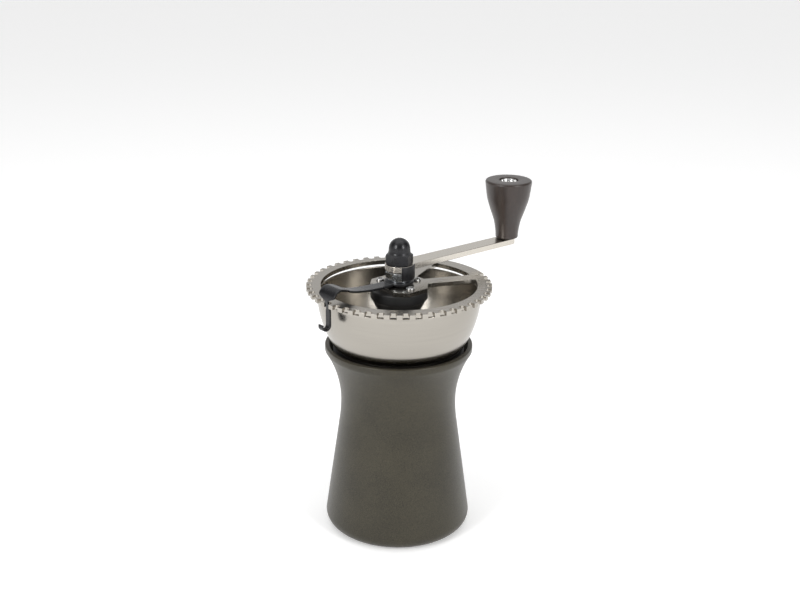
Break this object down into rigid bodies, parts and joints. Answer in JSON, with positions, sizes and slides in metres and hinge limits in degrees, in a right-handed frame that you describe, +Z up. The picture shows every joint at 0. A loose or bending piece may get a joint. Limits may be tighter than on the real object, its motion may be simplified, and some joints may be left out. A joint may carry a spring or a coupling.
{
  "type": "hand crank coffee grinder",
  "caption": "Hand coffee mill with a waisted body, an open steel bean bowl, a notched setting crown with a lock lever, conical burrs, and a crank with a turned knob.",
  "frame": {"origin": "centre of the resting face of the rubber pad under the body", "axes": "+Z up along the drive shaft; +X to the viewer's right with the crank's knob at the right and to the back"},
  "size_m": [0.1267, 0.1157, 0.1895],
  "materials": {
    "lacquer": "satin",
    "brushed_steel": "brushed",
    "crown_steel": "brushed",
    "arm_steel": "brushed",
    "black_metal": "satin",
    "zinc": "plated",
    "bright_steel": "polished",
    "burr_steel": "hardened",
    "bronze": "sintered",
    "black_plastic": "satin",
    "bearing_plastic": "satin",
    "knob_plastic": "satin",
    "rubber": "matte"
  },
  "bodies": {
    "base": {"base_shell": "lacquer", "foot_pad": "rubber", "grounds_liner": "black_plastic", "bowl_seat": "black_plastic"},
    "mill": {"bowl": "brushed_steel", "bowl_gasket": "rubber", "burr_housing": "black_plastic", "outer_burr": "burr_steel", "housing_screws": "bright_steel", "lower_bush": "bronze", "bearing_carrier": "black_plastic", "upper_bush": "bronze", "crown": "crown_steel", "crown_screws": "bright_steel", "threaded_boss": "black_metal"},
    "setting": {"adjusting_nut": "zinc", "lever_ring": "black_metal", "lever_leaf": "black_metal"},
    "lever": {"lever_hook": "black_metal"},
    "crank": {"drive_shaft": "bright_steel", "inner_burr": "burr_steel", "burr_washer": "bright_steel", "burr_clip": "bright_steel", "lift_spring": "bright_steel", "thrust_washer": "bright_steel", "crank_collar": "black_metal", "crank_arm": "arm_steel", "cap_nut": "black_metal", "knob_spindle": "bright_steel"},
    "knob": {"knob": "knob_plastic", "knob_bush": "bearing_plastic"}
  },
  "joints": [
    {"name": "bowl_lift", "type": "slide", "parent": "base", "child": "mill", "axis": [0, 0, 1], "range_m": [0, 0.1]},
    {"name": "setting_turn", "type": "hinge", "parent": "mill", "child": "setting", "pos_m": [0, 0, 0.148], "axis": [0, 0, 1], "range_deg": [-0.45, 0.45]},
    {"name": "hook_pull", "type": "hinge", "parent": "setting", "child": "lever", "pos_m": [-0.03395, -0.03014, 0.15085], "axis": [-0.6639, 0.7478, 0], "range_deg": [0, 15], "stiffness_Nm_per_rad": 0.6, "springref_deg": -1.15},
    {"name": "crank_turn", "type": "hinge", "parent": "mill", "child": "crank", "pos_m": [0, 0, 0.1], "axis": [0, 0, 1], "continuous": true},
    {"name": "knob_spin", "type": "hinge", "parent": "crank", "child": "knob", "pos_m": [0.0625, 0.05152, 0.17], "axis": [0, 0, 1], "continuous": true}
  ]
}
